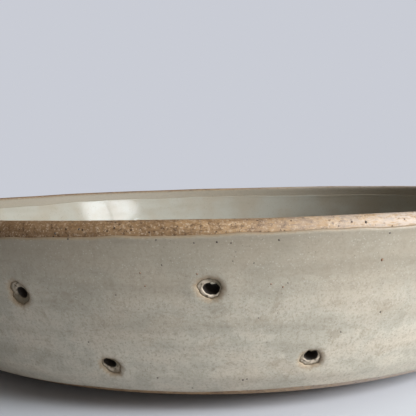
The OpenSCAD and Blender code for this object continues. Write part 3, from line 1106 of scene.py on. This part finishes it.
# %% [markdown]
# ## Finish of the specks
#
# Melted iron is nearly black and glassy. Some grains carry less of it and stay rust brown.

# %% The specks
def melted_iron():
    iron = Finish("melted_iron")
    colour = iron.mix(iron.measure("tone"), (0.05, 0.035, 0.025), (0.24, 0.12, 0.055))
    colour = iron.mix(0.4 * iron.cloud(0.25, 2.0), colour, (0.12, 0.09, 0.06))
    bumps = iron.relief(iron.cloud(0.2, 2.0), 0.02)
    return iron.set(Base_Color=colour, Roughness=0.3 + 0.3 * iron.cloud(0.3), Normal=bumps)


# %% Dress the pieces and tie them to the frame
dressed = (
    (clay_body, bare_clay(), "bare_stoneware", "stoneware_body"),
    (outer_coat, satin_glaze(), "outer_glaze", "outer_glaze"),
    (inner_coat, glossy_glaze(), "inner_glaze", "inner_glaze"),
    (iron_specks, melted_iron(), "bare_stoneware", None))
for thing, material, slot, node in dressed:
    thing.data.materials.append(material)
    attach(thing, "root")
    if node:
        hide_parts(node)
print(len(dressed), "pieces ride on the root")

# %% [markdown]
# ## Table, backdrop and light
#
# The bowl stands on a pale table in front of a pale wall, lit by one tall window to the right,
# behind the camera's shoulder, and by the soft light of the room. The two panes of the window are
# two area lamps. The glossy inside mirrors them, so their place was worked out from where the
# photograph shows their reflection. The table and the room's backdrop show their own colour to the
# camera and fade into each other, and the table keeps the bowl's shadow.

# %% Table and backdrop
BACKDROP = (0.585, 0.604, 0.665)
TABLE = (0.60, 0.62, 0.665)
table_mesh = bpy.data.meshes.new("table")
reach = 6.0
table_mesh.from_pydata([(-reach, -reach, 0), (reach, -reach, 0), (reach, reach, 0), (-reach, reach, 0)],
                       [], [(0, 1, 2, 3)])
table = bpy.data.objects.new("table", table_mesh)
bpy.context.scene.collection.objects.link(table)

top = Finish("table_top")
distance = top.node("ShaderNodeVectorMath", {"operation": "LENGTH"}, {0: top.place}, out="Value")
to_camera = top.node("ShaderNodeLightPath", out="Is Camera Ray")
glow = top.node("ShaderNodeEmission", {}, {"Color": BACKDROP, "Strength": 1.0})
shader = top.node("ShaderNodeMixShader", {}, {
    0: to_camera * top.step(distance, 250, 900), 1: Wire(top, top.shader.outputs[0]), 2: glow})
top.tree.links.new(shader.socket, top.tree.nodes["Material Output"].inputs["Surface"])
table_mesh.materials.append(top.set(Base_Color=TABLE, Roughness=0.6, Specular_IOR_Level=0.3))

world = bpy.data.worlds.new("room")
bpy.context.scene.world = world
world.use_nodes = True
room, nodes = world.node_tree, world.node_tree.nodes
seen, felt = nodes["Background"], nodes.new("ShaderNodeBackground")
seen.inputs["Color"].default_value = (*BACKDROP, 1.0)
felt.inputs["Color"].default_value = (1.0, 0.93, 0.85, 1.0)
ROOM_LIGHT = 0.13
felt.inputs["Strength"].default_value = ROOM_LIGHT
ray, blend = nodes.new("ShaderNodeLightPath"), nodes.new("ShaderNodeMixShader")
room.links.new(ray.outputs["Is Camera Ray"], blend.inputs[0])
room.links.new(felt.outputs[0], blend.inputs[1])
room.links.new(seen.outputs[0], blend.inputs[2])
room.links.new(blend.outputs[0], nodes["World Output"].inputs["Surface"])

# %% Lamps
WINDOW_TURN = 59.0
WINDOW_AWAY = 1.15
WINDOW_UP = 0.44
PANE_W, PANE_H, PANE_GAP = 0.24, 0.42, 0.035
PANE_WATTS = 10.8
GLIMPSE = Vector((-0.064, 0.092, 0.04))


def lamp(name, place, target, width, height, watts, colour=(0.92, 0.96, 1.0)):
    """An area lamp at a place, facing a target."""
    data = bpy.data.lights.new(name, "AREA")
    data.shape, data.size, data.size_y, data.energy, data.color = "RECTANGLE", width, height, watts, colour
    thing = bpy.data.objects.new(name, data)
    facing = (Vector(target) - Vector(place)).to_track_quat("-Z", "Y")
    thing.matrix_world = Matrix.Translation(place) @ facing.to_matrix().to_4x4()
    bpy.context.scene.collection.objects.link(thing)
    return thing


way = Vector((math.sin(math.radians(WINDOW_TURN)), -math.cos(math.radians(WINDOW_TURN)), 0))
across = Vector((-way.y, way.x, 0))
for side in (-1, 1):
    offset = across * side * (PANE_W + PANE_GAP) / 2
    lamp(f"pane_{'left' if side < 0 else 'right'}", GLIMPSE + way * WINDOW_AWAY + offset + Vector((0, 0, WINDOW_UP)),
         GLIMPSE + offset, PANE_W, PANE_H, PANE_WATTS)
lamp("doorway", (0.75, -1.35, 0.32), (0, -0.1, 0), 0.9, 0.5, 4.2, (1.0, 0.97, 0.93))
lamp("ceiling", (0.25, -0.95, 1.3), (0, -0.1, 0), 0.9, 0.5, 1.5, (1.0, 0.97, 0.93))

bpy.context.scene.view_settings.view_transform = "Standard"
